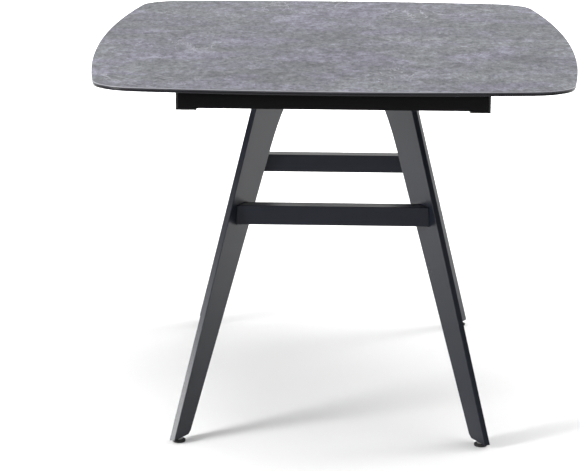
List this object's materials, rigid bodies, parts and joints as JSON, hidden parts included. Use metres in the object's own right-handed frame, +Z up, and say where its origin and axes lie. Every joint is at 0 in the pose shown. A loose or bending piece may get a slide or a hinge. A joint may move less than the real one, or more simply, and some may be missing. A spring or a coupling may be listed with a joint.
{
  "type": "extendable dining table",
  "caption": "Extendable dining table with a thin barrel-shaped stone-look top on diagonal plank legs; halves slide apart for a stored leaf.",
  "frame": {"origin": "on the floor under the middle of the top", "axes": "+X across the table to the right, +Y along the table towards its far end, +Z up"},
  "size_m": [1.014, 1.42, 0.76],
  "materials": {
    "stone_tile": "satin",
    "backing_glass": "gloss",
    "anthracite_lacquer": "satin",
    "black_steel": "satin",
    "rail_aluminium": "satin",
    "zinc_steel": "satin",
    "black_nylon": "matte",
    "acetal": "satin",
    "foot_rubber": "matte"
  },
  "bodies": {
    "fixed_frame": {"left_rail": "rail_aluminium", "right_rail": "rail_aluminium", "left_leaf_strip": "black_nylon", "right_leaf_strip": "black_nylon", "near_cross_member": "black_steel", "far_cross_member": "black_steel", "gear_bridge": "zinc_steel", "pinion_post": "zinc_steel", "near_crossbar": "anthracite_lacquer", "far_crossbar": "anthracite_lacquer", "left_lock_screw": "zinc_steel", "right_lock_screw": "zinc_steel", "near_left_leg": "anthracite_lacquer", "near_left_head_plate": "black_steel", "near_right_leg": "anthracite_lacquer", "near_right_head_plate": "black_steel", "far_left_leg": "anthracite_lacquer", "far_left_head_plate": "black_steel", "far_right_leg": "anthracite_lacquer", "far_right_head_plate": "black_steel"},
    "near_half": {"near_tile": "stone_tile", "near_glass": "backing_glass", "near_end_beam": "black_steel", "near_mid_bar": "black_steel", "near_rack": "acetal", "near_rack_bracket": "zinc_steel", "left_lock_peg": "zinc_steel", "right_lock_peg": "zinc_steel", "near_left_runner": "black_steel", "near_left_shoe": "black_nylon", "near_right_runner": "black_steel", "near_right_shoe": "black_nylon"},
    "far_half": {"far_tile": "stone_tile", "far_glass": "backing_glass", "far_end_beam": "black_steel", "far_mid_bar": "black_steel", "far_rack": "acetal", "far_rack_bracket": "zinc_steel", "far_left_runner": "black_steel", "far_left_shoe": "black_nylon", "far_right_runner": "black_steel", "far_right_shoe": "black_nylon"},
    "leaf": {"leaf_tile": "stone_tile", "leaf_glass": "backing_glass"},
    "pinion": {"sync_pinion": "acetal"},
    "left_lock": {"left_lock_lever": "zinc_steel"},
    "right_lock": {"right_lock_lever": "zinc_steel"},
    "near_left_foot": {"near_left_foot_pad": "foot_rubber", "near_left_foot_stud": "zinc_steel"},
    "near_right_foot": {"near_right_foot_pad": "foot_rubber", "near_right_foot_stud": "zinc_steel"},
    "far_left_foot": {"far_left_foot_pad": "foot_rubber", "far_left_foot_stud": "zinc_steel"},
    "far_right_foot": {"far_right_foot_pad": "foot_rubber", "far_right_foot_stud": "zinc_steel"}
  },
  "joints": [
    {"name": "near_slide", "type": "slide", "parent": "fixed_frame", "child": "near_half", "axis": [0, -1, 0], "range_m": [0, 0.25]},
    {"name": "far_slide", "type": "slide", "parent": "fixed_frame", "child": "far_half", "axis": [0, 1, 0], "range_m": [0, 0.25]},
    {"name": "pinion_turn", "type": "hinge", "parent": "fixed_frame", "child": "pinion", "pos_m": [0, 0, 0.721], "axis": [0, 0, -1], "range_deg": [0, 358.2]},
    {"name": "leaf_draw", "type": "slide", "parent": "fixed_frame", "child": "leaf", "axis": [1, 0, 0], "range_m": [-0.5, 0.5]},
    {"name": "left_lock_swing", "type": "hinge", "parent": "fixed_frame", "child": "left_lock", "pos_m": [-0.235, -0.415, 0.7015], "axis": [0, 0, -1], "range_deg": [0, 90]},
    {"name": "right_lock_swing", "type": "hinge", "parent": "fixed_frame", "child": "right_lock", "pos_m": [0.235, -0.415, 0.7015], "axis": [0, 0, 1], "range_deg": [0, 90]},
    {"name": "near_left_foot_turn", "type": "hinge", "parent": "fixed_frame", "child": "near_left_foot", "pos_m": [-0.30765, -0.4916, 0], "axis": [0, 0, 1], "continuous": true},
    {"name": "near_right_foot_turn", "type": "hinge", "parent": "fixed_frame", "child": "near_right_foot", "pos_m": [0.30765, -0.4916, 0], "axis": [0, 0, 1], "continuous": true},
    {"name": "far_left_foot_turn", "type": "hinge", "parent": "fixed_frame", "child": "far_left_foot", "pos_m": [-0.30765, 0.4916, 0], "axis": [0, 0, 1], "continuous": true},
    {"name": "far_right_foot_turn", "type": "hinge", "parent": "fixed_frame", "child": "far_right_foot", "pos_m": [0.30765, 0.4916, 0], "axis": [0, 0, 1], "continuous": true}
  ],
  "couplings": [
    {"joint": "far_slide", "follows": "near_slide", "ratio": 1},
    {"joint": "pinion_turn", "follows": "near_slide", "rad_per_m": 25}
  ]
}
